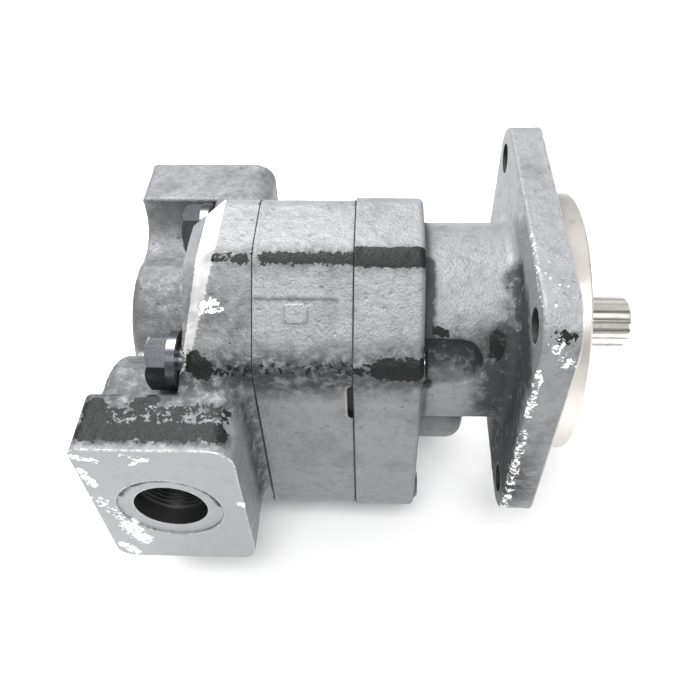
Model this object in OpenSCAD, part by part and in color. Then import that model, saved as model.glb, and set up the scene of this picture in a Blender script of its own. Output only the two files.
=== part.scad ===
// Hydraulic external gear pump, three-piece cast iron body.
// Origin: centre of the flange's mounting face, on the drive shaft's axis.
// +X runs out along the drive shaft, +Z is up, and the near port looks along -Y.

/* [Mounting flange] */
// Side of the square flange
flange_side = 146.5; // [144:0.5:156]
// Radius of the flange's corners
flange_corner_r = 18.5; // [12:0.5:22]
// Thickness of the flange
flange_t = 15.5; // [13:0.5:20]
// Spacing of the four bolt holes, both ways
flange_hole_spacing = 114.5; // [112:0.1:116]
// Diameter of the flange's bolt holes
flange_hole_d = 14.3; // [12:0.1:15]
// Diameter of the pilot
pilot_d = 127; // [120:0.5:128]
// Height of the pilot above the mounting face
pilot_h = 12.7; // [12.5:0.1:13.5]

/* [Pump body] */
// Distance between the two gear axes
gear_centres = 63.5; // [63.5:0.01:63.6]
// Width of the gear housing
body_w = 113; // [112.5:0.5:118]
// Height of the housing's top above the drive axis
body_top = 61.2; // [60:0.1:66]
// Leg of the 45 degree cut on the body's corners
body_cut = 37.4; // [34:0.1:40]
// Radius on the body's long edges
body_edge_r = 15; // [10:0.5:16]
// How far the shaft end cover stands out past the housing
cover_step = 1.2; // [0.5:0.1:2]
// Length of the shaft end cover's body
shaft_end_l = 31.5; // [31:0.5:36]
// Length of the gear housing
housing_l = 44.45; // [44.45:0.01:44.6]
// Length of the port end cover up to the bolt seats
port_end_l = 33.5; // [32:0.5:40]
// Length of the passage block behind the bolt seats
passage_l = 41; // [38:0.5:46]
// Distance from the mounting face back to the shaft end cover's body
neck_end = 57.5; // [55:0.5:64]
// Diameter of the neck
neck_d = 98; // [94:0.5:100]
// Diameter of the idler boss under the neck
idler_boss_d = 46; // [40:0.5:50]
// Length of the idler boss
idler_boss_l = 27; // [20:0.5:30]

/* [Ports] */
// Width of the port pads along the shaft
pad_w = 70; // [68:0.5:74]
// Distance of each port face from the shaft's plane
pad_reach = 94; // [88:0.5:98]
// Height of the near pad's top above the drive axis
near_pad_top = 18; // [16:0.5:22]
// Height of the near pad's bottom above the drive axis
near_pad_bottom = -78; // [-84:0.5:-76]
// Height of the far pad's top above the drive axis
far_pad_top = 27.5; // [22:0.5:30]
// Minor diameter of the near port's thread, for 1 5/16-12
near_port_d = 31.2; // [28:0.1:33]
// Diameter of the near port's spotface
near_spot_d = 49.2; // [45:0.1:52]
// Minor diameter of the far port's thread, for 1 5/8-12
far_port_d = 39.1; // [36:0.1:40]
// Diameter of the far port's spotface
far_spot_d = 58.8; // [54:0.1:60]
// Depth of both threads
port_depth = 28; // [22:0.5:30]

/* [Gears and shaft] */
// Number of teeth on each gear
teeth = 10; // [10:1:10]
// Pressure angle of the teeth
pressure_angle = 28; // [27:0.5:29]
// Width of the gears
gear_w = 38.1; // [38:0.01:38.15]
// Radius of the gear journals
journal_r = 19.05; // [18.9:0.01:19.06]
// Distance of the shaft's end from the mounting face
shaft_reach = 46; // [42:0.5:48]
// Outside diameter of the spline
spline_d = 24.98; // [24:0.01:25]
// Number of teeth on the spline
spline_teeth = 15; // [13:1:15]
// Diameter of the shaft under the lip seal
seal_shaft_d = 28.6; // [27:0.1:29]

/* [Bushes, plates and seals] */
// Outside diameter of the journal bushes
bush_d = 44.5; // [43:0.1:48]
// Length of the journal bushes
bush_l = 25; // [20:0.5:25]
// Thickness of the thrust plates
plate_t = 3.1; // [3:0.01:3.14]

/* [Tie bolts] */
// Distance of the tie bolts from the shaft's plane, on both sides
bolt_y = 46; // [45.5:0.1:46.5]
// Height of the upper tie bolts above the drive axis
bolt_z = 19.2; // [18.8:0.1:19.6]
// Diameter of the tie bolts
bolt_d = 15.88; // [14:0.01:15.9]
// Size across the flats of the bolt heads
head_af = 23.8; // [22:0.1:24]
// Height of the bolt heads
head_h = 9.9; // [8:0.1:11]
// Outside diameter of the washers
washer_d = 28.6; // [27:0.1:30]
// Thickness of the washers
washer_t = 4.1; // [3:0.1:4.5]
// Radius of the scallops around the bolt heads
scallop_r = 17; // [16.5:0.1:17.5]

/* [Hidden] */
$fn = 96;

// Places along X of the faces where the three castings meet
front_seam = -(neck_end + shaft_end_l);
rear_seam = front_seam - housing_l;
bolt_seat = rear_seam - port_end_l;
rear_end = bolt_seat - passage_l;
body_front = -neck_end;
idler_z = -gear_centres;
mesh_z = idler_z / 2;
cut_past = 1;

// Gear bore and running clearances
gear_module = gear_centres / teeth;
tip_r = gear_centres * (teeth + 2) / teeth / 2;
root_r = gear_centres / 2 - 1.25 * gear_module;
bore_clearance = 0.06;
journal_clearance = 0.03;
backlash_angle = 0.12;
side_clearance = (housing_l - 2 * plate_t - gear_w) / 2;
gear_front = front_seam - plate_t - side_clearance;
gear_rear = gear_front - gear_w;
mesh_turn = 180 / teeth;

// Oil ways from the ports to the two sides of the mesh
way_y = 28;
way_r = 9.5;
near_way_r = 15.2;
far_way_r = 19.1;
cross_way_end = 20;
bush_pocket = bush_l + 0.5;
pad_left = rear_end;
port_x = pad_left + pad_w / 2;
spot_depth = 1.2;
far_pad_bottom = 2 * mesh_z - far_pad_top;
near_port_z = (near_pad_top + near_pad_bottom) / 2;
near_elbow = [-46, 35.5];
far_elbow = [29, 38.5];

// Shaft seal, its seat in the pilot and the holes for the shaft
shaft_bore_r = 17;
seat_r = 26;
seat_floor = -6;
case_front = 5.5;
case_wall = 1.2;
case_lip_r = 19;
lip_gap = 0.05;
snap_t = 1.8;
snap_groove_r = 27.6;
snap_inner_r = 24;
snap_gap_angle = 24;
spring_ring_r = 17.2;
spring_wire_r = 0.9;
spring_x = 0.2;

// Seals and dowels at the two seams
body_seal_in = 39.3;
body_seal_w = 1.6;
body_seal_depth = 1.8;
plate_seal_r = 33;
plate_seal_w = 2.4;
plate_seal_depth = 1.4;
plate_hole_r = journal_r + 0.25;
dowel_r = 3.2;
dowel_half_l = 8;
dowel_y = 49.5;
dowel_rise = 16.5;

bolt_hole_r = bolt_d / 2 + 0.25;
bolt_tip = body_front + 1.7;
tip_pocket_r = 11.5;
head_turns = [29, 52, 8, 20];
upper_and_lower = [bolt_z, 2 * mesh_z - bolt_z];
bolt_places = [for (z = upper_and_lower, y = [bolt_y, -bolt_y]) [y, z]];

IRON = [0.42, 0.43, 0.44];
STEEL = [0.72, 0.72, 0.74];
BOLT = [0.30, 0.31, 0.33];
BRONZE = [0.72, 0.55, 0.32];
RUBBER = [0.10, 0.10, 0.11];

// ---- Outlines ----

function unit(v) = v / norm(v);

// Arc that rounds the corner b between a and c, for points that run anticlockwise
function corner_arc(a, b, c, r, steps) =
    let (u = unit(a - b), v = unit(c - b), half = acos(u * v) / 2,
         centre = b + unit(u + v) * r / sin(half),
         start = b + u * r / tan(half) - centre,
         from = atan2(start[1], start[0]), sweep = 180 - 2 * half)
    [for (i = [0:steps]) centre + r * [cos(from + sweep * i / steps), sin(from + sweep * i / steps)]];

function rounded(points, radii, steps = 6) =
    let (n = len(points))
    [for (i = [0:n - 1])
        each corner_arc(points[(i + n - 1) % n], points[i], points[(i + 1) % n], radii[i], steps)];

// The body's eight-sided section, grown outwards by step
function body_outline(step = 0) =
    let (w = body_w / 2 + step, top = body_top + step, cut = body_cut + 0.586 * step,
         low = 2 * mesh_z - top)
    rounded([[w, low + cut], [w, top - cut], [w - cut, top], [cut - w, top],
             [-w, top - cut], [-w, low + cut], [cut - w, low], [w - cut, low]],
            [for (i = [0:7]) body_edge_r]);

function pad_outline(low, top) =
    rounded([[pad_left, low], [pad_left + pad_w, low], [pad_left + pad_w, top], [pad_left, top]],
            [8, 8, 11, 4]);

// ---- Solids along X and Y ----

// Extrudes a (Y, Z) outline from x0 to x1
module along_x(x0, x1) {
    translate([x0, 0, 0]) rotate([90, 0, 90]) linear_extrude(x1 - x0) children();
}

// Extrudes an (X, Z) outline from y0 to y1
module along_y(y0, y1) {
    translate([0, y1, 0]) rotate([90, 0, 0]) linear_extrude(y1 - y0) children();
}

module rod_x(r, x0, x1, y = 0, z = 0) {
    translate([x0, y, z]) rotate([0, 90, 0]) cylinder(r = r, h = x1 - x0);
}

module rod_y(r, y0, y1, x, z) {
    translate([x, y1, z]) rotate([90, 0, 0]) cylinder(r = r, h = y1 - y0);
}

// Turns a profile of [distance along X, radius] points about the X axis
module turned_x(y = 0, z = 0) {
    translate([0, y, z]) rotate([0, 90, 0]) rotate_extrude() mirror([1, 0]) rotate(90) children();
}

module ring_x(outer_r, inner_r, x0, x1, y = 0, z = 0) {
    difference() {
        rod_x(outer_r, x0, x1, y, z);
        rod_x(inner_r, x0 - cut_past, x1 + cut_past, y, z);
    }
}

// Two round bores side by side, on the two gear axes
module twin_bore(r, x0, x1) {
    for (z = [0, idler_z]) rod_x(r, x0, x1, 0, z);
}

// A slot with round ends that takes in both gear axes
module stadium(r) {
    for (z = [0, idler_z]) translate([0, z]) circle(r);
    translate([-r, idler_z]) square([2 * r, gear_centres]);
}

module body_seal_ring(x0, x1) {
    along_x(x0, x1) difference() {
        stadium(body_seal_in + body_seal_w);
        stadium(body_seal_in);
    }
}

module bolt_holes(r, x0, x1) {
    for (p = bolt_places) rod_x(r, x0, x1, p[0], p[1]);
}

module dowel_pair(seam) {
    for (s = [-1, 1])
        rod_x(dowel_r, seam - dowel_half_l, seam + dowel_half_l, s * dowel_y, mesh_z + s * dowel_rise);
}

// ---- Castings ----

module flange_plate() {
    h = flange_side / 2;
    along_x(-flange_t, 0) polygon(rounded([[-h, -h], [h, -h], [h, h], [-h, h]],
                                          [for (i = [0:3]) flange_corner_r]));
}

module flange_holes() {
    s = flange_hole_spacing / 2;
    for (y = [-s, s], z = [-s, s])
        rod_x(flange_hole_d / 2, -flange_t - cut_past, cut_past, y, z);
}

// Neck with the blend into the flange's back
module neck() {
    blend = 4;
    r = neck_d / 2;
    turned_x() polygon(concat(
        [[body_front - cut_past, 0], [body_front - cut_past, r]],
        [for (i = [0:4]) [-flange_t - blend * cos(i * 22.5), r + blend - blend * cos(90 - i * 22.5)]],
        [[-flange_t + cut_past, r + blend], [-flange_t + cut_past, 0]]));
}

// Boss that closes the idler's side of the cover, round at its free end
module idler_boss() {
    r = idler_boss_d / 2;
    end_r = 9;
    x1 = body_front + idler_boss_l;
    turned_x(0, idler_z) polygon(concat(
        [[body_front - cut_past, 0], [body_front - cut_past, r]],
        [for (i = [0:5]) [x1 - end_r + end_r * sin(i * 18), r - end_r + end_r * cos(i * 18)]],
        [[x1, 0]]));
}

// Round-ended cut that clears the end of a tie bolt
module tip_pocket(p) {
    x1 = body_front + idler_boss_l;
    turned_x(p[0], p[1]) polygon(concat(
        [[body_front, 0], [body_front, tip_pocket_r]],
        [for (i = [0:5]) [x1 - tip_pocket_r * (1 - sin(i * 18)), tip_pocket_r * cos(i * 18)]]));
}

module shaft_end_cover() {
    color(IRON) difference() {
        union() {
            along_x(front_seam, body_front) polygon(body_outline(cover_step));
            neck();
            idler_boss();
            flange_plate();
            rod_x(pilot_d / 2, -cut_past, pilot_h);
        }
        flange_holes();
        for (p = bolt_places) tip_pocket(p);
        bolt_holes(bolt_d / 2, front_seam - cut_past, body_front + cut_past);
        twin_bore(bush_d / 2, front_seam - cut_past, front_seam + bush_pocket);
        rod_x(shaft_bore_r, front_seam, seat_floor + cut_past);
        rod_x(seat_r, seat_floor, pilot_h + cut_past);
        rod_x(snap_groove_r, case_front, case_front + snap_t);
        body_seal_ring(front_seam - cut_past, front_seam + body_seal_depth);
        dowel_pair(front_seam);
    }
}

module gear_housing() {
    color(IRON) difference() {
        along_x(rear_seam, front_seam) polygon(body_outline());
        twin_bore(tip_r + bore_clearance, rear_seam - cut_past, front_seam + cut_past);
        for (s = [-1, 1])
            rod_x(way_r, rear_seam - cut_past, front_seam + cut_past, s * way_y, mesh_z);
        bolt_holes(bolt_hole_r, rear_seam - cut_past, front_seam + cut_past);
        dowel_pair(front_seam);
        dowel_pair(rear_seam);
    }
}

// The block behind the bolt seats, which holds the two elbows
module passage_block() {
    along_x(rear_end, bolt_seat + cut_past)
        for (elbow = [near_elbow, far_elbow]) translate([elbow[0], mesh_z]) circle(elbow[1]);
    along_y(-pad_reach, -bolt_y) polygon(pad_outline(near_pad_bottom, near_pad_top));
    along_y(bolt_y, pad_reach) polygon(pad_outline(far_pad_bottom, far_pad_top));
}

module port_and_way(side, port_r, spot_r, inner_r, z) {
    face = side * pad_reach;
    thread_end = side * (pad_reach - port_depth);
    way_end = side * cross_way_end;
    rod_y(spot_r, min(face, face - side * spot_depth), max(face, face - side * spot_depth), port_x, z);
    rod_y(port_r, min(face, thread_end), max(face, thread_end), port_x, z);
    rod_y(inner_r, min(thread_end + side, way_end), max(thread_end + side, way_end), port_x, mesh_z);
    rod_x(way_r, port_x, rear_seam + cut_past, side * way_y, mesh_z);
}

module port_end_cover() {
    color(IRON) difference() {
        union() {
            along_x(bolt_seat, rear_seam) polygon(body_outline());
            difference() {
                passage_block();
                bolt_holes(scallop_r, rear_end - cut_past, bolt_seat);
            }
        }
        port_and_way(-1, near_port_d / 2, near_spot_d / 2, near_way_r, near_port_z);
        port_and_way(1, far_port_d / 2, far_spot_d / 2, far_way_r, mesh_z);
        bolt_holes(bolt_hole_r, bolt_seat - cut_past, rear_seam + cut_past);
        twin_bore(bush_d / 2, rear_seam - bush_pocket, rear_seam + cut_past);
        body_seal_ring(rear_seam - body_seal_depth, rear_seam + cut_past);
        dowel_pair(rear_seam);
    }
}

// ---- Gears and shaft ----

function inv(a) = tan(a) * 180 / PI - a;

// Half of a tooth's angle at a radius, for a tooth of the gear
function tooth_half(r) =
    let (base = gear_centres / 2 * cos(pressure_angle))
    90 / teeth - backlash_angle + inv(pressure_angle) - inv(acos(min(1, base / r)));

module gear_outline() {
    base = gear_centres / 2 * cos(pressure_angle);
    steps = 6;
    flank = [for (i = [0:steps]) base + (tip_r - base) * i / steps];
    root_half = tooth_half(base) + 0.6;
    polygon([for (t = [0:teeth - 1]) let (turn = t * 360 / teeth) each concat(
        [root_r * [cos(turn - root_half), sin(turn - root_half)]],
        [for (r = flank) r * [cos(turn - tooth_half(r)), sin(turn - tooth_half(r))]],
        [for (i = [steps:-1:0]) let (r = flank[i])
            r * [cos(turn + tooth_half(r)), sin(turn + tooth_half(r))]],
        [root_r * [cos(turn + root_half), sin(turn + root_half)]])]);
}

module gear_body(z, turn) {
    translate([0, 0, z]) along_x(gear_rear, gear_front) rotate(turn) gear_outline();
    rod_x(journal_r, rear_seam - bush_l, front_seam + bush_l, 0, z);
}

module spline_outline() {
    tip = spline_d / 2;
    root = tip - 2.05;
    pitch_turn = 360 / spline_teeth;
    polygon([for (t = [0:spline_teeth - 1]) each [
        for (a = [[-0.42, root], [-0.19, tip], [0.19, tip], [0.42, root]])
            a[1] * [cos((t + a[0]) * pitch_turn), sin((t + a[0]) * pitch_turn)]]]);
}

module drive_gear_shaft() {
    spline_start = 8;
    end_chamfer = 1.6;
    color(STEEL) {
        gear_body(0, -90);
        rod_x(seal_shaft_d / 2, front_seam + bush_l - cut_past, spline_start);
        intersection() {
            along_x(spline_start - cut_past, shaft_reach) spline_outline();
            turned_x() polygon([[spline_start - cut_past, 0], [spline_start - cut_past, spline_d],
                                [shaft_reach - end_chamfer - spline_d / 2, spline_d],
                                [shaft_reach, spline_d / 2 - end_chamfer], [shaft_reach, 0]]);
        }
    }
}

module idler_gear() {
    color(STEEL) gear_body(idler_z, 90 + mesh_turn);
}

// ---- Plates and bushes ----

module thrust_plate(gear_side, seal_side) {
    low = min(gear_side, seal_side);
    high = max(gear_side, seal_side);
    groove = seal_side > gear_side
        ? [high - plate_seal_depth, high + cut_past] : [low - cut_past, low + plate_seal_depth];
    color(BRONZE) difference() {
        twin_bore(tip_r, low, high);
        for (z = [0, idler_z]) rod_x(plate_hole_r, low - cut_past, high + cut_past, 0, z);
        for (s = [-1, 1]) rod_x(way_r, low - cut_past, high + cut_past, s * way_y, mesh_z);
        plate_seal(groove[0], groove[1]);
    }
}

module plate_seal(x0, x1) {
    difference() {
        twin_bore(plate_seal_r, x0, x1);
        twin_bore(plate_seal_r - plate_seal_w, x0 - cut_past, x1 + cut_past);
        for (s = [-1, 1]) rod_x(way_r + 3, x0 - cut_past, x1 + cut_past, s * way_y, mesh_z);
    }
}

module front_thrust_plate() { thrust_plate(front_seam - plate_t, front_seam); }
module rear_thrust_plate() { thrust_plate(rear_seam + plate_t, rear_seam); }

module bush(x0, z) {
    color(BRONZE) ring_x(bush_d / 2, journal_r + journal_clearance, x0, x0 + bush_l, 0, z);
}

module drive_front_bush() { bush(front_seam, 0); }
module idler_front_bush() { bush(front_seam, idler_z); }
module drive_rear_bush() { bush(rear_seam - bush_l, 0); }
module idler_rear_bush() { bush(rear_seam - bush_l, idler_z); }

// ---- Seals and rings ----

module front_body_seal() { color(RUBBER) body_seal_ring(front_seam, front_seam + body_seal_depth); }
module rear_body_seal() { color(RUBBER) body_seal_ring(rear_seam - body_seal_depth, rear_seam); }
module front_plate_seal() { color(RUBBER) plate_seal(front_seam - plate_seal_depth, front_seam); }
module rear_plate_seal() { color(RUBBER) plate_seal(rear_seam, rear_seam + plate_seal_depth); }

// Pressed steel cup that holds the rubber lip
module shaft_seal_case() {
    color(STEEL) turned_x() polygon([
        [seat_floor, seat_r - case_wall], [seat_floor, seat_r], [case_front, seat_r],
        [case_front, case_lip_r], [case_front - case_wall, case_lip_r],
        [case_front - case_wall, seat_r - case_wall]]);
}

// Rubber ring with its lip on the shaft and a dust lip in front
module shaft_seal_lip() {
    shaft_r = seal_shaft_d / 2 + lip_gap;
    inner = case_front - case_wall;
    spring_wall = spring_x + spring_wire_r + lip_gap;
    color(RUBBER) turned_x() polygon([
        [inner, seat_r - case_wall], [inner, shaft_r + 1.6], [inner + 1.4, shaft_r],
        [inner - 0.6, shaft_r + 0.1], [inner - 1.6, shaft_r + 1.1], [spring_x, shaft_r],
        [seat_floor + 1, shaft_r + 1.4], [seat_floor + 1, shaft_r + 1.9],
        [spring_wall, spring_ring_r - spring_wire_r - lip_gap],
        [spring_wall, spring_ring_r + 1], [inner - 2.2, spring_ring_r + 1.4],
        [inner - 2.2, seat_r - case_wall]]);
}

module shaft_seal_spring() {
    color(STEEL) translate([spring_x, 0, 0]) rotate([0, 90, 0])
        rotate_extrude() translate([spring_ring_r, 0]) circle(spring_wire_r, $fn = 24);
}

// Internal snap ring with two eyes at its gap
module snap_ring() {
    eye_r = 3.2;
    eye_hole_r = 1.2;
    eye_ring_r = 23.2;
    eye_turn = snap_gap_angle / 2 + 7;
    color(BOLT) difference() {
        union() {
            difference() {
                ring_x(snap_groove_r - 0.4, snap_inner_r, case_front, case_front + snap_t);
                along_x(case_front - cut_past, case_front + snap_t + cut_past)
                    polygon([[0, 0], for (s = [-1, 1]) let (turn = 90 + s * snap_gap_angle / 2)
                                 2 * seat_r * [cos(turn), sin(turn)]]);
            }
            for (s = [-1, 1])
                rod_x(eye_r, case_front, case_front + snap_t,
                      eye_ring_r * cos(90 + s * eye_turn), eye_ring_r * sin(90 + s * eye_turn));
        }
        for (s = [-1, 1])
            rod_x(eye_hole_r, case_front - cut_past, case_front + snap_t + cut_past,
                  eye_ring_r * cos(90 + s * eye_turn), eye_ring_r * sin(90 + s * eye_turn));
    }
}

// ---- Fasteners ----

module front_dowels() { color(STEEL) dowel_pair(front_seam); }
module rear_dowels() { color(STEEL) dowel_pair(rear_seam); }

module tie_bolt(p, turn) {
    head_r = head_af / 2 / cos(30);
    head_back = bolt_seat - washer_t - head_h;
    tip_chamfer = 1.5;
    intersection() {
        translate([0, p[0], p[1]]) along_x(head_back, head_back + head_h)
            rotate(turn + 30) circle(head_r, $fn = 6);
        turned_x(p[0], p[1]) polygon([
            [head_back, 0], [head_back, head_af / 2], [head_back + (head_r - head_af / 2), head_r + 0.2],
            [head_back + head_h, head_r + 0.2], [head_back + head_h, 0]]);
    }
    turned_x(p[0], p[1]) polygon([
        [head_back + head_h - cut_past, 0], [head_back + head_h - cut_past, bolt_d / 2],
        [bolt_tip - tip_chamfer, bolt_d / 2], [bolt_tip, bolt_d / 2 - tip_chamfer], [bolt_tip, 0]]);
}

module tie_bolts() {
    color(BOLT) for (i = [0:3]) tie_bolt(bolt_places[i], head_turns[i]);
}

module bolt_washers() {
    color(BOLT) for (p = bolt_places)
        ring_x(washer_d / 2, bolt_hole_r, bolt_seat - washer_t, bolt_seat, p[0], p[1]);
}

shaft_end_cover();
gear_housing();
port_end_cover();
drive_gear_shaft();
idler_gear();
front_thrust_plate();
rear_thrust_plate();
drive_front_bush();
drive_rear_bush();
idler_front_bush();
idler_rear_bush();
front_body_seal();
rear_body_seal();
front_plate_seal();
rear_plate_seal();
shaft_seal_case();
shaft_seal_lip();
shaft_seal_spring();
snap_ring();
front_dowels();
rear_dowels();
tie_bolts();
bolt_washers();
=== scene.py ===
"""Hydraulic gear pump: cast iron castings, ports, fasteners and shaft in a plain studio.

Lengths in the fields below are millimetres in the pump's own frame: the origin is the centre of
the mounting face on the drive axis, +X runs out along the shaft and +Z is up. Meshes are in metres.
"""
import math

import bpy
import numpy as np
from bpy.props import FloatProperty, FloatVectorProperty, PointerProperty
from mathutils import Matrix, Vector


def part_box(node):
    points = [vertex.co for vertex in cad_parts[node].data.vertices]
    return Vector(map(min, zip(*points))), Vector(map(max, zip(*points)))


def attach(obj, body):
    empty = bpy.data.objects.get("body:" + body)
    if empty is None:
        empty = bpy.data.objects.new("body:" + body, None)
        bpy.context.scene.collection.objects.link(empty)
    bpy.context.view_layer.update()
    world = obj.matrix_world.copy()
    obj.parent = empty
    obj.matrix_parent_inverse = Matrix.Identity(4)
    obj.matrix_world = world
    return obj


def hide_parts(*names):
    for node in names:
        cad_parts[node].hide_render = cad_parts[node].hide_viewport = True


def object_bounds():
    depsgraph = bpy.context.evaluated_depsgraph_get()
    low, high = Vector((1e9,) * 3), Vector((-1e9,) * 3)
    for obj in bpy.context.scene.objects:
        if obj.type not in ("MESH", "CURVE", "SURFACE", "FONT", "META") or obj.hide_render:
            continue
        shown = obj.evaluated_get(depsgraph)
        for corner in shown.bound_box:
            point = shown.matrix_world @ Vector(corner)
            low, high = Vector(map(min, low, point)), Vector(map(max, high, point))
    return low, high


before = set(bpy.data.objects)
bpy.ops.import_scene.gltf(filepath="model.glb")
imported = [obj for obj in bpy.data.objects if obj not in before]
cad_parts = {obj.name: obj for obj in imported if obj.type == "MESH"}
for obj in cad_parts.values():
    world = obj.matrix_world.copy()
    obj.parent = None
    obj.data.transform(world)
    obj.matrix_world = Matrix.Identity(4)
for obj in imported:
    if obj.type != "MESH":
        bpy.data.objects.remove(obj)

bl_info = {
    "name": "Hydraulic gear pump",
    "version": (1, 0, 0),
    "blender": (4, 5, 0),
    "location": "3D View > Sidebar > Pump",
    "description": "Builds the pump's castings, fittings and studio around the packed frame",
    "category": "Object",
}

MM = 0.001
RELIEF_DEPTH = 0.6
CAD_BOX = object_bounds()
PUMP_BODY = "pump_body"


def node_box(name):
    """Lowest and highest corner of a CAD node, in millimetres."""
    low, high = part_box(name)
    return np.array(low) / MM, np.array(high) / MM


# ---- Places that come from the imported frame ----

housing_low, housing_high = node_box("gear_housing")
cover_high = node_box("shaft_end_cover")[1]
rear_low, rear_high = node_box("port_end_cover")
FRONT_SEAM = housing_high[0]
REAR_SEAM = housing_low[0]
BOLT_SEAT = node_box("bolt_washers")[1][0]
REAR_END = rear_low[0]
PAD_FACE = rear_high[1]
MESH_Z = (housing_low[2] + housing_high[2]) / 2
IDLER_Z = 2 * MESH_Z
HALF_WIDTH = housing_high[1]
HALF_HEIGHT = housing_high[2] - MESH_Z
FLANGE_HALF = cover_high[1]
PILOT_END = cover_high[0]

# ---- Sizes of the castings, in millimetres ----

BODY_CUT = 37.4
BODY_EDGE_R = 15.0
COVER_STEP = 1.2
BODY_FRONT = -57.5
NECK_R = 49.0
NECK_END = -5.0
FLANGE_T = 15.5
FLANGE_CORNER_R = 18.5
FLANGE_HOLE = 57.25
FLANGE_HOLE_R = 7.15
PILOT_R = 63.5
IDLER_BOSS_R = 23.0
IDLER_BOSS_END = BODY_FRONT + 27.0
POCKET_R = 11.5
BOLT_Y, BOLT_Z = 46.0, 19.2
BOLT_HOLE_R = 8.19
BOLTS = [(y, z) for z in (BOLT_Z, 2 * MESH_Z - BOLT_Z) for y in (BOLT_Y, -BOLT_Y)]
SCALLOP_R = 17.0
PAD_W = 70.0
PORT_X = REAR_END + PAD_W / 2
NEAR_PAD = (-78.0, 18.0)
FAR_PAD = (-91.0, 27.5)
NEAR_PORT = {"z": -30.0, "bore": 15.6, "thread": 16.7, "spot": 24.6, "way": 15.2}
FAR_PORT = {"z": MESH_Z, "bore": 19.55, "thread": 20.65, "spot": 29.4, "way": 19.1}
PORT_DEPTH = 28.0
SPOT_DEPTH = 1.2
ELBOWS = ((-46.0, 35.5), (29.0, 38.5))
OIL_WAY = (28.0, 9.5)
GEAR_BORE_R = 38.5
BUSH_BORE_R = 22.3
BUSH_POCKET = 25.6
SEAL_SEAT = (26.0, -6.0)
SNAP_GROOVE = (27.6, 5.5, 7.3)
SHAFT_BORE_R = 17.0
SPLINE_ROOT_R = 10.6
PAST = 1.0

# Outside edges and inside corners that differ from the sizes in the panel
NECK_ROOT_FILLET = 1.0
BOSS_EDGE_R, BOSS_FILLET = 9.0, 6.0
FLANGE_EDGE_R = 1.6
POCKET_EDGE_R = 1.5
PILOT_CHAMFER = 1.0
ELBOW_EDGE_R, ELBOW_FILLET = 5.0, 9.0
PAD_TO_ELBOW_FILLET = 6.0
SCALLOP_EDGE_R = 2.6
THREAD_CLEARANCE, THREAD_START = 0.4, 8.0

# The gear housing's raised pad, mould ridge and pry slots: across runs up the sloping face
RAISED_PAD = {"x": -114.0, "across": 3.3, "half": (5.2, 4.2), "corner": 2.0, "height": 0.7,
              "edge": 0.5, "root": 0.6}
MOULD_RIDGE = {"across": 10.2, "sunk": 0.65, "radius": 0.95, "half": 17.5, "root": 0.4}
PRY_SLOT = {"z": 3.6, "half": (2.6, 11.8), "corner": 2.2, "depth": 3.2}

# The bevel behind the port end cover's body: its leg at the sides, what it gains, over what height, and
# the share of its width next to the side faces that is painted with a highlight
BEVEL = {"side": 2.5, "gain": 14.0, "start": 50.0, "span": 43.0, "painted_highlight": 0.45}
PAD_CORNERS = {"front_top": 11.0, "rear_top": 4.0, "bottom": 8.0}
CROSS_WAY_END = 20.0

# How near a cut's face, a seam or the bevel the surface must be to take its mark
ON_FACE, ON_SEAM = 0.3, 0.2
HIGHLIGHT_DEPTH = 0.6
# How deep under the surface, and how far above it, edges and hollows are looked for
EDGE_DEPTH, CAVITY_DEPTH = 1.2, 7.0
# How far from a machined face the cast skin is free to ripple, and the angle of a sharp edge
LOOSE_DEPTH = 3.0
SHARP = math.radians(38)


def linear(hex_colour):
    """sRGB hex to linear red, green, blue and alpha."""
    parts = [int(hex_colour[i:i + 2], 16) / 255 for i in (1, 3, 5)]
    return (*[c / 12.92 if c <= 0.04045 else ((c + 0.055) / 1.055) ** 2.4 for c in parts], 1.0)


# ---- Properties ----


def length(name, description, mm):
    return FloatProperty(name=name, description=description, default=mm * MM, min=0.0,
                         subtype="DISTANCE", unit="LENGTH", precision=5)


def colour(name, description, hex_colour):
    return FloatVectorProperty(name=name, description=description, subtype="COLOR", size=4,
                               min=0.0, max=1.0, default=linear(hex_colour))


class PumpSizes(bpy.types.PropertyGroup):
    """Sizes of the cast and machined detail."""
    grid: length("Mesh grid", "Spacing of the grid that the castings are meshed on", 0.9)
    pad_fillet: length("Pad fillet", "Radius between the port pads and the body", 7.5)
    cast_fillet: length("Casting fillet", "Radius in the castings' other inside corners", 4.0)
    cast_edge: length("Casting edge", "Radius on the castings' outside edges", 3.0)
    ripple: length("Skin ripple", "Depth of the hollows in the as-cast skin", 0.35)
    grit: length("Sand grit", "Size of the grains that the moulding sand leaves", 1.1)
    seam_gap: length("Seam gap", "Half of the gap at the seams between castings", 0.15)
    thread_pitch: length("Port thread pitch", "Pitch of the port threads, 12 to the inch", 2.117)
    edge_break: length("Edge break", "Width of the broken edges on steel parts", 0.35)


class PumpColours(bpy.types.PropertyGroup):
    """Colours of the finishes."""
    paint: colour("Paint", "Grey paint on the castings", "#747678")
    paint_dark: colour("Thin paint", "Paint where it is thin and the iron darkens it", "#3f4143")
    paint_light: colour("Paint on machined faces", "Paint on the smooth port pads", "#8c8d90")
    stain: colour("Black layer", "Black-green layer that shows under the grey paint", "#0f1512")
    chip: colour("Filler", "White filler where the paint has chipped", "#f1f1ee")
    iron: colour("Bare iron", "Freshly machined grey iron", "#cfcac5")
    steel: colour("Ground steel", "Ground and hobbed steel", "#e3e0dc")
    bolt: colour("Black oxide", "Black oxide on the tie bolts and washers", "#5a5c60")
    floor: colour("Floor", "The pale floor", "#f4f4f4")


# ---- Nodes ----

MATH, VECTOR, MIX, RANGE = "ShaderNodeMath", "ShaderNodeVectorMath", "ShaderNodeMix", "ShaderNodeMapRange"
NOISE, BUMP = "ShaderNodeTexNoise", "ShaderNodeBump"


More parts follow.
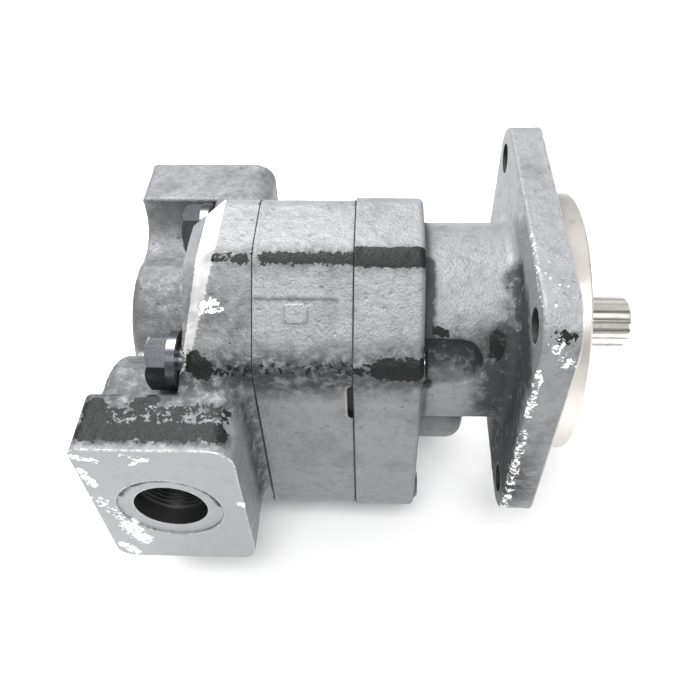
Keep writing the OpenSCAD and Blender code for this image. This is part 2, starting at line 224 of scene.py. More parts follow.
def add(tree, kind, inputs, output=0, **settings):
    """Adds one node with its settings and links, and returns one of its outputs. inputs are values or
    links, in the order of the node's sockets or under a socket's name or index."""
    node = tree.nodes.new(kind)
    for name, value in settings.items():
        setattr(node, name, value)
    for key, value in inputs.items() if isinstance(inputs, dict) else enumerate(inputs):
        if isinstance(value, bpy.types.NodeSocket):
            tree.links.new(value, node.inputs[key])
        else:
            node.inputs[key].default_value = value
    return node.outputs[output] if node.outputs else None


def new_material(name):
    material = bpy.data.materials.new(name)
    material.use_nodes = True
    material.node_tree.nodes.clear()
    return material, material.node_tree


def finish_material(tree, inputs):
    surface = add(tree, "ShaderNodeBsdfPrincipled", inputs)
    add(tree, "ShaderNodeOutputMaterial", {"Surface": surface})


def place(tree, cell):
    """Object coordinates divided into cells of the given sizes in millimetres."""
    where = add(tree, "ShaderNodeTexCoord", {}, "Object")
    return add(tree, "ShaderNodeMapping", {"Vector": where, "Scale": [1 / (c * MM) for c in cell]})


def painted_cast_iron():
    """Sand-cast grey iron under a thin coat of grey enamel.

    The sand leaves grit and small pits that catch the light. The enamel is half gloss, thin on edges,
    darkened by grime and painted shade in hollows, seams, bores and along the long edges, near white with
    a painted highlight on the rear bevel, and lifts in ragged flakes to a black layer and white filler.
    """
    sizes, colours = bpy.context.scene.pump_sizes, bpy.context.scene.pump_colours
    grit_mm = sizes.grit / MM
    material, tree = new_material("grey enamel on sand-cast iron")
    marks = {name: add(tree, "ShaderNodeAttribute", {}, "Fac", attribute_name=name)
             for name in ("bare", "oily", "smooth", "painted_highlight", "edge", "cavity", "stain", "chips", "soot_and_shade")}

    # Noise layers: cell in millimetres, detail, roughness and distortion. Real grit is finer than
    # can show, so it is drawn at the size in the panel.
    layers = {name: add(tree, NOISE, {"Vector": place(tree, [cell] * 3), "Scale": 1.0, "Detail": detail,
                                      "Roughness": rough, "Distortion": bend})
              for name, cell, detail, rough, bend in (
                  ("cloud", 22.0, 3.0, 0.60, 0.0), ("mottle", 5.0, 4.0, 0.65, 0.0),
                  ("flake", 3.2, 5.0, 0.60, 0.6), ("speck", 1.6, 2.0, 0.70, 0.0),
                  ("grit", grit_mm, 2.0, 0.60, 0.0), ("lumps", 3.4 * grit_mm, 2.0, 0.50, 0.0),
                  ("chip", 2.4, 4.0, 0.70, 0.0))}
    smooth_step = {"interpolation_type": "SMOOTHSTEP"}

    # Paint: broad clouds, finer mottle and dark grains in the hollows of the grit
    mottled = add(tree, RANGE, (layers["mottle"], 0.48, 0.72), **smooth_step)
    clouded = add(tree, RANGE, (layers["cloud"], 0.48, 0.70), **smooth_step)
    thin = add(tree, MATH, (mottled, 0.28), operation="MULTIPLY")
    thin = add(tree, MATH, (clouded, 0.30, thin), operation="MULTIPLY_ADD")
    grains = add(tree, RANGE, (layers["grit"], 0.56, 0.72, 0.0, 0.55), **smooth_step)
    skin = add(tree, MIX, {0: thin, 6: colours.paint, 7: colours.paint_dark}, 2, data_type="RGBA")
    skin = add(tree, MIX, {0: grains, 6: skin, 7: colours.paint_dark}, 2, data_type="RGBA")
    patchy = add(tree, RANGE, (layers["mottle"], 0.45, 0.70, 0.0, 0.25), **smooth_step)
    sprayed = add(tree, MIX, {0: patchy, 6: colours.paint_light, 7: colours.paint}, 2, data_type="RGBA")
    skin = add(tree, MIX, {0: marks["smooth"], 6: skin, 7: sprayed}, 2, data_type="RGBA")
    # Painted highlight: the rear bevel of the port end cover is painted near white
    skin = add(tree, MIX, {0: marks["painted_highlight"], 6: skin, 7: linear("#b8b8b7")}, 2, data_type="RGBA")

    # Painted shade darkens hollows and the seam gaps, and the darkening marks add grime and painted shade
    corners = add(tree, RANGE, (marks["cavity"], 0.35, 0.90, 0.0, 0.8), **smooth_step)
    sooty_and_shaded = add(tree, RANGE, (layers["mottle"], 0.18, 0.60), **smooth_step)
    sooty_and_shaded = add(tree, MATH, (marks["soot_and_shade"], sooty_and_shaded), operation="MULTIPLY")
    sooty_and_shaded = add(tree, MATH, (sooty_and_shaded, 0.88), operation="MINIMUM")
    dirt_and_shade = add(tree, MATH, (corners, sooty_and_shaded), operation="MAXIMUM")
    skin = add(tree, MIX, {0: dirt_and_shade, 6: skin, 7: linear("#1e2021")}, 2, data_type="RGBA")

    # Ragged flakes: the local mark raises the chance, and the noise draws the outline
    ragged = add(tree, MATH, (layers["flake"], 0.6), operation="MULTIPLY")
    ragged = add(tree, MATH, (layers["speck"], 0.3, ragged), operation="MULTIPLY_ADD")
    black = add(tree, MATH, (marks["stain"], 0.55, ragged), operation="MULTIPLY_ADD")
    black = add(tree, RANGE, (black, 0.735, 0.760), **smooth_step)
    skin = add(tree, MIX, {0: black, 6: skin, 7: colours.stain}, 2, data_type="RGBA")
    chipped = add(tree, MATH, (layers["chip"], 0.9), operation="MULTIPLY")
    white = add(tree, MATH, (marks["chips"], 0.5, chipped), operation="MULTIPLY_ADD")
    white = add(tree, RANGE, (white, 0.740, 0.755), **smooth_step)
    skin = add(tree, MIX, {0: white, 6: skin, 7: colours.chip}, 2, data_type="RGBA")

    # Rubbed edges show paler paint
    rub = add(tree, RANGE, (marks["edge"], 0.30, 0.62, 0.0, 0.6), **smooth_step)
    worn = add(tree, RANGE, (layers["speck"], 0.36, 0.60), **smooth_step)
    rub = add(tree, MATH, (rub, worn), operation="MULTIPLY")
    skin = add(tree, MIX, {0: rub, 6: skin, 7: linear("#c9c9c7")}, 2, data_type="RGBA")

    # Machined iron: turned rings about the shaft, drawn coarser than a real tool leaves them
    rings = add(tree, "ShaderNodeTexWave", {"Vector": place(tree, (1.0, 1.0, 1.0)), "Scale": 0.3,
                                            "Distortion": 0.2, "Detail": 2.0}, "Fac",
                wave_type="RINGS", rings_direction="X")
    turned = add(tree, MATH, (rings, 0.10), operation="MULTIPLY")
    iron = add(tree, MIX, {0: turned, 6: colours.iron, 7: linear("#8f8a85")}, 2, data_type="RGBA")
    aged = add(tree, RANGE, (layers["mottle"], 0.52, 0.75, 0.0, 0.25), **smooth_step)
    iron = add(tree, MIX, {0: aged, 6: iron, 7: linear("#827c76")}, 2, data_type="RGBA")
    # Painted shade: bores, holes and slots are darkened
    iron = add(tree, MIX, {0: marks["oily"], 6: iron, 7: linear("#3a3a3b")}, 2, data_type="RGBA")
    skin = add(tree, MIX, {0: marks["bare"], 6: skin, 7: iron}, 2, data_type="RGBA")

    # Roughness of each finish in turn, the last one on top
    rough = add(tree, MATH, (layers["mottle"], 0.25, 0.30), operation="MULTIPLY_ADD")
    for where, value in ((marks["smooth"], 0.42), (dirt_and_shade, 0.62), (black, 0.50), (white, 0.75),
                         (marks["bare"], 0.34), (marks["oily"], 0.55)):
        rough = add(tree, MIX, {0: where, 2: rough, 3: value})
    metal = add(tree, MATH, (marks["bare"], 0.85), operation="MULTIPLY")
    dull = add(tree, MATH, (black, dirt_and_shade), operation="MAXIMUM")
    gloss = add(tree, MIX, {0: dull, 2: 0.5, 3: 0.2})

    # Relief: lumps, grit and pits, damped under smooth paint, and the step at the edge of each flake
    pits = add(tree, "ShaderNodeTexVoronoi", {"Vector": place(tree, (6.5, 6.5, 6.5)), "Scale": 1.0})
    pits = add(tree, RANGE, (pits, 0.16, 0.05), **smooth_step)
    grouped = add(tree, RANGE, (layers["cloud"], 0.42, 0.55), **smooth_step)
    pits = add(tree, MATH, (pits, grouped), operation="MULTIPLY")
    relief = add(tree, MATH, (layers["grit"], 0.55), operation="MULTIPLY")
    relief = add(tree, MATH, (layers["lumps"], 0.9, relief), operation="MULTIPLY_ADD")
    relief = add(tree, MATH, (pits, -0.9, relief), operation="MULTIPLY_ADD")
    damped = add(tree, MIX, {0: marks["smooth"], 2: 1.0, 3: 0.10})
    relief = add(tree, MATH, (relief, damped), operation="MULTIPLY")
    flakes = add(tree, MATH, (black, white), operation="MAXIMUM")
    relief = add(tree, MATH, (flakes, -0.18, relief), operation="MULTIPLY_ADD")
    grooves = add(tree, MATH, (rings, 0.03), operation="MULTIPLY")
    relief = add(tree, MIX, {0: marks["bare"], 2: relief, 3: grooves})
    bump = add(tree, BUMP, {"Height": relief, "Strength": 1.0, "Distance": RELIEF_DEPTH * MM})
    finish_material(tree, {"Base Color": skin, "Roughness": rough, "Metallic": metal,
                           "Specular IOR Level": gloss, "Normal": bump})
    return material


def worked_metal(name, base, dark, roughness, mottle_mm, line_mm, metallic=1.0, relief_mm=0.02,
                 root_mm=None):
    """A bare or oxidised metal with fine lines along the way it was cut and soft patches of oil."""
    material, tree = new_material(name)
    lines = add(tree, NOISE, {"Vector": place(tree, line_mm), "Scale": 1.0, "Detail": 2.0,
                              "Roughness": 0.5})
    patches = add(tree, NOISE, {"Vector": place(tree, [mottle_mm] * 3), "Scale": 1.0, "Detail": 4.0,
                                "Roughness": 0.65})
    shade = add(tree, RANGE, (lines, 0.45, 0.75, 0.0, 0.25), interpolation_type="SMOOTHSTEP")
    oiled = add(tree, RANGE, (patches, 0.45, 0.75), interpolation_type="SMOOTHSTEP")
    shade = add(tree, MATH, (oiled, 0.45, shade), operation="MULTIPLY_ADD")
    skin = add(tree, MIX, {0: shade, 6: base, 7: dark}, 2, data_type="RGBA")
    if root_mm:
        # Painted shade darkens the roots of the spline
        flat = add(tree, VECTOR, (place(tree, (1.0, 1.0, 1.0)), (0.0, 1.0, 1.0)), operation="MULTIPLY")
        radius = add(tree, VECTOR, (flat,), "Value", operation="LENGTH")
        deep = add(tree, RANGE, (radius, root_mm + 0.9, root_mm), interpolation_type="SMOOTHSTEP")
        skin = add(tree, MIX, {0: deep, 6: skin, 7: linear("#a29e99")}, 2, data_type="RGBA")
    rough = add(tree, MATH, (patches, 0.25, roughness - 0.12), operation="MULTIPLY_ADD")
    bump = add(tree, BUMP, {"Height": lines, "Strength": 0.6, "Distance": relief_mm * MM})
    finish_material(tree, {"Base Color": skin, "Roughness": rough, "Metallic": metallic,
                           "Normal": bump})
    return material


def nitrile_rubber():
    """Moulded nitrile rubber: matt black with a faint grey bloom."""
    material, tree = new_material("moulded nitrile rubber")
    bloom = add(tree, NOISE, {"Vector": place(tree, (2.0, 2.0, 2.0)), "Scale": 1.0, "Detail": 4.0})
    grey = add(tree, RANGE, (bloom, 0.4, 0.8), interpolation_type="SMOOTHSTEP")
    skin = add(tree, MIX, {0: grey, 6: linear("#151618"), 7: linear("#2b2c2f")}, 2, data_type="RGBA")
    bump = add(tree, BUMP, {"Height": bloom, "Strength": 0.4, "Distance": 0.04 * MM})
    finish_material(tree, {"Base Color": skin, "Roughness": 0.62, "Normal": bump})
    return material


def finish_for(slot_name):
    """The material of a slot, made once."""
    colours = bpy.context.scene.pump_colours
    made = bpy.data.materials.get("finish_" + slot_name)
    if made:
        return made
    if slot_name == "painted_cast_iron":
        made = painted_cast_iron()
    elif slot_name == "ground_steel":
        # Hobbed and ground alloy steel: bright, with fine lines along the shaft and painted shade in the
        # roots
        made = worked_metal("hobbed and ground steel", tuple(colours.steel), linear("#a5a29e"),
                            0.34, 4.0, (6.0, 0.7, 0.7), root_mm=SPLINE_ROOT_R)
    elif slot_name == "dark_steel":
        # Forged bolt steel in black oxide: dark, half gloss, rubbed paler in patches
        made = worked_metal("black oxide on forged steel", tuple(colours.bolt), linear("#2a2b2d"),
                            0.27, 2.5, (1.2, 1.2, 1.2), 0.9, 0.03)
    elif slot_name == "shaded_thread":
        # Tapped iron, dark and dull with painted shade, with the cut's lines round the axis
        made = worked_metal("tapped thread in cast iron under painted shade", linear("#333334"), linear("#1c1c1d"),
                            0.50, 3.0, (3.0, 0.6, 3.0), 0.6)
    elif slot_name == "pressed_steel":
        # Pressed strip steel: grey, with drawing lines round the axis
        made = worked_metal("pressed strip steel", linear("#a9aaac"), linear("#6b6c6e"),
                            0.38, 5.0, (0.6, 4.0, 4.0))
    elif slot_name == "bronze":
        # Turned tin bronze: warm brown with turned lines across the axis
        made = worked_metal("turned tin bronze", linear("#b98d54"), linear("#7a5a34"),
                            0.36, 6.0, (0.5, 5.0, 5.0))
    else:
        made = nitrile_rubber()
    made.name = "finish_" + slot_name
    return made


# ---- Fields: signed distances in millimetres, negative inside ----


def join(a, b, r):
    """Union with a fillet of radius r."""
    u, v = np.maximum(r - a, 0), np.maximum(r - b, 0)
    return np.maximum(r, np.minimum(a, b)) - np.sqrt(u * u + v * v)


def trim(a, b, r):
    """Intersection with its edge rounded to radius r."""
    u, v = np.maximum(r + a, 0), np.maximum(r + b, 0)
    return np.minimum(-r, np.maximum(a, b)) + np.sqrt(u * u + v * v)


def segment(px, py, a, b):
    """Distance from points to the segment from a to b in a plane."""
    dx, dy = b[0] - a[0], b[1] - a[1]
    t = np.clip(((px - a[0]) * dx + (py - a[1]) * dy) / (dx * dx + dy * dy), 0, 1)
    return np.hypot(px - a[0] - t * dx, py - a[1] - t * dy)


def body_section(y, z, grow=0.0):
    """The body's eight-sided section with rounded long edges."""
    a, b = np.abs(y), np.abs(z - MESH_Z)
    r = BODY_EDGE_R
    w, h = HALF_WIDTH + grow - r, HALF_HEIGHT + grow - r
    c = HALF_WIDTH + HALF_HEIGHT - BODY_CUT + grow * math.sqrt(2) - r * math.sqrt(2)
    inside = np.maximum(np.maximum(a - w, b - h), (a + b - c) * math.sqrt(0.5))
    outside = np.minimum(segment(a, b, (w, 0), (w, c - w)), segment(a, b, (w, c - w), (c - h, h)))
    outside = np.minimum(outside, segment(a, b, (c - h, h), (0, h)))
    return np.where(inside < 0, inside, outside) - r


def rounded_box(u, v, centre, half, r):
    """A rectangle with rounded corners; r may be a number or an array of radii."""
    qu, qv = np.abs(u - centre[0]) - half[0] + r, np.abs(v - centre[1]) - half[1] + r
    return (np.minimum(np.maximum(qu, qv), 0)
            + np.hypot(np.maximum(qu, 0), np.maximum(qv, 0)) - r)


def pad_section(x, z, low, high):
    """A port pad's outline, with its own radius at each corner."""
    centre = (REAR_END + PAD_W / 2, (low + high) / 2)
    front, up = x > centre[0], z > centre[1]
    r = np.where(up, np.where(front, PAD_CORNERS["front_top"], PAD_CORNERS["rear_top"]),
                 PAD_CORNERS["bottom"])
    return rounded_box(x, z, centre, (PAD_W / 2, (high - low) / 2), r)


def bolt_circles(y, z):
    return np.minimum.reduce([np.hypot(y - by, z - bz) for by, bz in BOLTS])


def twin_circles(y, z):
    return np.minimum(np.hypot(y, z), np.hypot(y, z - IDLER_Z))


def oil_ways(y, z):
    return np.hypot(np.abs(y) - OIL_WAY[0], z - MESH_Z) - OIL_WAY[1]


def least(*fields):
    """The lowest of several fields that broadcast together."""
    out = fields[0]
    for f in fields[1:]:
        out = np.minimum(out, f)
    return out


# What each casting's fields may hold: its as-cast skin, and cuts left bare, darkened with painted shade,
# painted or at a seam
CUTS = ("bare", "oily", "painted", "seam")


def shaft_end_fields(x, y, z, sizes):
    """Fields of the shaft end cover."""
    axis_r = np.hypot(y, z)
    body = trim(body_section(y, z, COVER_STEP), x - BODY_FRONT, sizes["edge"])
    neck = np.maximum(axis_r - NECK_R, x - NECK_END)
    boss = trim(np.hypot(y, z - IDLER_Z) - IDLER_BOSS_R, x - IDLER_BOSS_END, BOSS_EDGE_R)
    flange = trim(rounded_box(y, z, (0, 0), (FLANGE_HALF, FLANGE_HALF), FLANGE_CORNER_R),
                  -FLANGE_T - x, FLANGE_EDGE_R)
    flange = np.maximum(flange, x - PAST)
    skin = join(join(neck, boss, BOSS_FILLET), body, NECK_ROOT_FILLET)
    skin = join(skin, flange, sizes["fillet"] + 1.0)
    # Stock that the pilot is turned from
    stock = np.maximum(axis_r - PILOT_R - 2 * PAST, np.maximum(-3 * PAST - x, x - PILOT_END - 2 * PAST))
    skin = np.minimum(skin, stock)
    along = x - np.clip(x, BODY_FRONT - 8, IDLER_BOSS_END - POCKET_R)
    pocket = np.sqrt(bolt_circles(y, z) ** 2 + along * along) - POCKET_R
    pocket = np.maximum(pocket, BODY_FRONT + 0.5 - x)
    skin = trim(skin, -pocket, POCKET_EDGE_R)
    hole = least(*[np.hypot(y - sy * FLANGE_HOLE, z - sz * FLANGE_HOLE)
                   for sy in (-1, 1) for sz in (-1, 1)]) - FLANGE_HOLE_R
    bare = least(
        np.maximum(-x, PILOT_R - axis_r),
        PILOT_END - x,
        np.maximum(-x, (PILOT_END - x + PILOT_R - axis_r - PILOT_CHAMFER) * math.sqrt(0.5)),
        np.maximum(axis_r - SEAL_SEAT[0], SEAL_SEAT[1] - x),
        np.maximum(axis_r - SNAP_GROOVE[0], np.maximum(SNAP_GROOVE[1] - x, x - SNAP_GROOVE[2])),
        axis_r - SHAFT_BORE_R)
    oily = least(
        np.maximum(twin_circles(y, z) - BUSH_BORE_R, x - FRONT_SEAM - BUSH_POCKET),
        np.maximum(bolt_circles(y, z) - BOLT_HOLE_R, x - BODY_FRONT - PAST),
        np.maximum(hole, -FLANGE_T - 2 * PAST - x))
    return {"skin": skin, "bare": bare, "oily": oily,
            "seam": x - FRONT_SEAM - sizes["gap"] + 0 * bare}


def housing_fields(x, y, z, sizes):
    """Fields of the gear housing."""
    skin = body_section(y, z) + 0 * x
    # A plain raised pad on the upper near face
    rise = (z - y) * math.sqrt(0.5)
    across = (z + y) * math.sqrt(0.5)
    face = (HALF_WIDTH + HALF_HEIGHT - BODY_CUT + MESH_Z) * math.sqrt(0.5)
    pad = rounded_box(x, across, (RAISED_PAD["x"], RAISED_PAD["across"]), RAISED_PAD["half"],
                      RAISED_PAD["corner"])
    pad = trim(pad, rise - face - RAISED_PAD["height"], RAISED_PAD["edge"])
    skin = join(skin, np.maximum(pad, face - 4 - rise), RAISED_PAD["root"])
    # The ridge where the two halves of the mould met
    ridge = np.hypot(across - MOULD_RIDGE["across"], rise - face + MOULD_RIDGE["sunk"])
    ridge = np.maximum(ridge - MOULD_RIDGE["radius"], np.abs(x - RAISED_PAD["x"]) - MOULD_RIDGE["half"])
    skin = join(skin, ridge, MOULD_RIDGE["root"])
    seam = np.minimum(FRONT_SEAM - sizes["gap"] - x, x - REAR_SEAM - sizes["gap"]) + 0 * skin
    # The cuts darkened with painted shade end with the pry slots at the front seam, on both sides
    oily = least(
        twin_circles(y, z) - GEAR_BORE_R,
        oil_ways(y, z),
        bolt_circles(y, z) - BOLT_HOLE_R,
        np.maximum(rounded_box(x, z, (FRONT_SEAM, PRY_SLOT["z"]), PRY_SLOT["half"], PRY_SLOT["corner"]),
                   HALF_WIDTH - PRY_SLOT["depth"] - np.abs(y)))
    return {"skin": skin, "oily": oily, "seam": seam}


def port_end_fields(x, y, z, sizes):
    """Fields of the port end cover; light is the distance from the smooth bevel that carries a painted
    highlight.
    """
    section = body_section(y, z)
    back = BOLT_SEAT - x
    # The bevel behind the body grows from the bolt seats to the top and bottom
    height = np.abs(z - MESH_Z)
    leg = BEVEL["side"] + BEVEL["gain"] * np.clip((height - BEVEL["start"]) / BEVEL["span"], 0, 1)
    body = np.maximum(np.maximum(section, back), (section + back + leg) * math.sqrt(0.5))
    near = np.maximum(pad_section(x, z, *NEAR_PAD), np.maximum(-PAD_FACE - PAST - y, y + BOLT_Y))
    far = np.maximum(pad_section(x, z, *FAR_PAD), np.maximum(y - PAD_FACE - PAST, BOLT_Y - y))
    pads = np.minimum(near, far)
    tubes = join(*[np.hypot(y - ey, z - MESH_Z) - er for ey, er in ELBOWS], ELBOW_FILLET)
    tubes = trim(tubes, REAR_END - x, ELBOW_EDGE_R)
    tubes = np.maximum(tubes, x - BOLT_SEAT - 4 * PAST)
    skin = join(join(tubes, pads, PAD_TO_ELBOW_FILLET), body, sizes["pad"])
    # The fillets swell where faces lie in one plane, so the rear is cut flat
    skin = np.maximum(skin, REAR_END - x)
    scallop = np.maximum(bolt_circles(y, z) - SCALLOP_R, x - BOLT_SEAT)
    skin = trim(skin, -scallop, SCALLOP_EDGE_R)
    near_r = np.hypot(x - PORT_X, z - NEAR_PORT["z"])
    far_r = np.hypot(x - PORT_X, z - FAR_PORT["z"])
    cross_r = np.hypot(x - PORT_X, z - MESH_Z)
    deep = PAD_FACE - PORT_DEPTH
    oily = least(
        np.maximum(near_r - NEAR_PORT["thread"] - THREAD_CLEARANCE, y + deep),
        np.maximum(far_r - FAR_PORT["thread"] - THREAD_CLEARANCE, deep - y),
        np.maximum(cross_r - NEAR_PORT["way"], np.maximum(y + CROSS_WAY_END, -deep - PAST - y)),
        np.maximum(cross_r - FAR_PORT["way"], np.maximum(CROSS_WAY_END - y, y - deep - PAST)),
        np.maximum(oil_ways(y, z), PORT_X - x),
        np.maximum(twin_circles(y, z) - BUSH_BORE_R, REAR_SEAM - BUSH_POCKET - x),
        np.maximum(bolt_circles(y, z) - BOLT_HOLE_R, BOLT_SEAT - PAST - x))
    face = PAD_FACE - SPOT_DEPTH
    painted = least(
        y + PAD_FACE, PAD_FACE - y,
        np.maximum(near_r - NEAR_PORT["spot"], y + face),
        np.maximum(far_r - FAR_PORT["spot"], face - y))
    # Only the part of the bevel next to the side faces carries the painted highlight
    light = np.maximum(np.abs(section + back + leg), back + (1 - BEVEL["painted_highlight"]) * leg)
    light = np.maximum(light, np.abs(y) - HALF_WIDTH)
    return {"skin": skin, "oily": oily, "painted": painted, "light": light,
            "seam": REAR_SEAM - sizes["gap"] - x + 0 * skin}


# ---- Meshing a field ----


def field_normals(field, p, step=0.02):
    """Unit gradients of a field at points."""
    g = np.stack([field(*(p + step * e).T) - field(*(p - step * e).T) for e in np.eye(3)], 1)
    return g / np.maximum(np.linalg.norm(g, axis=1, keepdims=True), 1e-9)


def contour(field, low, high, grid):
    """Dual contouring: one vertex in each cell that the surface crosses, set on the planes that
    the surface has where it crosses the cell's edges, so machined edges stay sharp."""
    # An odd part of a cell keeps the drawn planes off the grid's own planes
    low = np.asarray(low, float) - 0.37 * grid
    counts = np.ceil((np.asarray(high) + grid - low) / grid).astype(int) + 1
    axes = [low[k] + grid * np.arange(counts[k]) for k in range(3)]
    values = field(*np.meshgrid(*axes, indexing="ij", sparse=True)).astype(np.float32)
    inside = values < 0
    strides = np.array([counts[1] * counts[2], counts[2], 1])
    flat = values.ravel()
    cells, normals, points, quads = [], [], [], []
    for axis in range(3):
        first = [slice(1, -1)] * 3
        second = [slice(1, -1)] * 3
        first[axis], second[axis] = slice(0, -1), slice(1, None)
        crossed = inside[tuple(first)] ^ inside[tuple(second)]
        at = np.argwhere(crossed) + [0 if k == axis else 1 for k in range(3)]
        index = at @ strides
        fa, fb = flat[index].astype(float), flat[index + strides[axis]].astype(float)
        start = low + grid * at
        lo_t, hi_t = np.zeros(len(at)), np.ones(len(at))
        t = fa / (fa - fb)
        for _ in range(2):
            p = start.copy()
            p[:, axis] += t * grid
            f = field(*p.T)
            same = (f < 0) == (fa < 0)
            lo_t, fa = np.where(same, t, lo_t), np.where(same, f, fa)
            hi_t, fb = np.where(same, hi_t, t), np.where(same, fb, f)
            t = lo_t + (hi_t - lo_t) * np.clip(fa / (fa - fb + 1e-12), 0.02, 0.98)
        p = start.copy()
        p[:, axis] += t * grid
        n = field_normals(field, p)
        b, c = strides[(axis + 1) % 3], strides[(axis + 2) % 3]
        four = np.stack([index, index - b, index - b - c, index - c], 1)
        quads.append(np.where((flat[index] < 0)[:, None], four, four[:, ::-1]))
        cells.append(four.ravel())
        normals.append(np.repeat(n, 4, 0))
        points.append(np.repeat(p, 4, 0))
    cells, normals, points = (np.concatenate(a) for a in (cells, normals, points))
    used, slot = np.unique(cells, return_inverse=True)
    slot = slot.ravel()
    total = len(used)
    count = np.bincount(slot, minlength=total)
    centre = np.stack([np.bincount(slot, points[:, k], total) for k in range(3)], 1) / count[:, None]
    offset = np.einsum("ij,ij->i", normals, points - centre[slot])
    # A weak pull to the crossings' middle settles the vertices on flat and straight stretches
    pull = 0.03
    matrix = np.zeros((total, 3, 3))
    for i in range(3):
        for j in range(i, 3):
            matrix[:, i, j] = np.bincount(slot, normals[:, i] * normals[:, j], total)
            matrix[:, j, i] = matrix[:, i, j]
    matrix += pull * np.eye(3)
    right = np.stack([np.bincount(slot, normals[:, k] * offset, total) for k in range(3)], 1)
    move = np.linalg.solve(matrix, right[..., None])[..., 0]
    corner = low + grid * np.stack(np.unravel_index(used, counts), 1)
    vertices = np.clip(centre + move, corner, corner + grid)
    faces = np.searchsorted(used, np.concatenate(quads))
    return vertices, faces


def value_noise(p, cell, seed):
    """Smooth noise from -1 to 1 on a seeded lattice with the given cell size."""
    lattice = np.random.default_rng(seed).uniform(-1, 1, (32, 32, 32))
    q = p / cell
    base = np.floor(q).astype(int)
    f = q - base
    f = f * f * (3 - 2 * f)
    out = 0
    for i in (0, 1):
        for j in (0, 1):
            for k in (0, 1):
                w = ((f[:, 0] if i else 1 - f[:, 0]) * (f[:, 1] if j else 1 - f[:, 1])
                     * (f[:, 2] if k else 1 - f[:, 2]))
                c = (base + [i, j, k]) % 32
                out = out + w * lattice[c[:, 0], c[:, 1], c[:, 2]]
    return out


def spots(p, marks):
    """Strength of a list of marks at points. Each mark is a start, an end, a radius and a strength."""
    out = np.zeros(len(p))
    for start, end, r, strength in marks:
        start, end = np.array(start, float), np.array(end, float)
        way = end - start
        t = np.clip((p - start) @ way / max(way @ way, 1e-9), 0, 1)
        d = np.linalg.norm(p - start - t[:, None] * way, axis=1)
        out = np.maximum(out, strength * np.clip(1.5 * (1 - d / r), 0, 1))
    return out


def arc_marks(centre, across, r, degrees, width, strength):
    """Marks along an arc that turns from the direction across towards +Z, as a chain of straight ones."""
    points = [np.array(centre) + r * (math.cos(a) * np.array(across) + np.array((0, 0, math.sin(a))))
              for a in map(math.radians, degrees)]
    return [(start, end, width, strength) for start, end in zip(points, points[1:])]


# Marks on the finish, each a start, an end, a radius and a strength, in millimetres.
# STAINS bare the black layer, SOOT_AND_SHADE darkens with grime and painted shade, and CHIPS bare the
# white filler. Along the long rounded edges both tables stand partly for painted shade.
STAINS = {
    "shaft_end": [
        # Black flakes along the long rounded edges: part real flaking, part painted shade of the bands
        # there
        ((-88, -20.5, 61), (-58, -20.5, 61), 6.5, 1.5),
        ((-76, -57.5, 27), (-58, -57.5, 27), 9.5, 1.0),
        ((-89, -57.5, 27), (-76, -57.5, 27), 7.0, 0.62),
        ((-25, -39, 30), (-25, -43, 24), 7.0, 0.7),
        ((-12, -73, 70), (-6, -73, 66), 8.0, 0.75),
        ((-52, -37, 32), (-48, -38, 31), 4.0, 0.7),
    ],
    "housing": [
        # Black flakes along the long rounded edges: part real flaking, part painted shade of the bands
        # there
        ((-128, -20.5, 60), (-89, -20.5, 60), 6.0, 0.72),
        ((-133, -56.5, 26), (-89, -56.5, 26), 8.0, 0.50),
    ],
    "port_end": [
        # Black flakes along the long rounded edges: part real flaking, part painted shade of the bands
        # there
        ((-150, -20.5, 60), (-134, -20.5, 60), 5.0, 0.55),
        ((-139, -21, 60), (-137, -21, 60), 5.0, 0.8),
        ((-160, -53.5, 28), (-155, -56, 25), 8.0, 1.0),
        # Black flakes along the lower rounded edge: part real flaking, part painted shade of the band
        # there
        ((-152, -56, 24), (-134, -56, 24), 7.0, 0.5),
        ((-202, -84, 18), (-146, -84, 18), 10.0, 0.72),
        ((-202, -76, 18), (-146, -74, 18), 10.0, 0.60),
        ((-201, -72, 18), (-199, -84, 18), 8.0, 1.2),
        ((-183, -69, 18), (-176, -67, 18), 5.0, 0.8),
        ((-196, 47, 26), (-150, 47, 26), 4.0, 0.55),
    ],
}

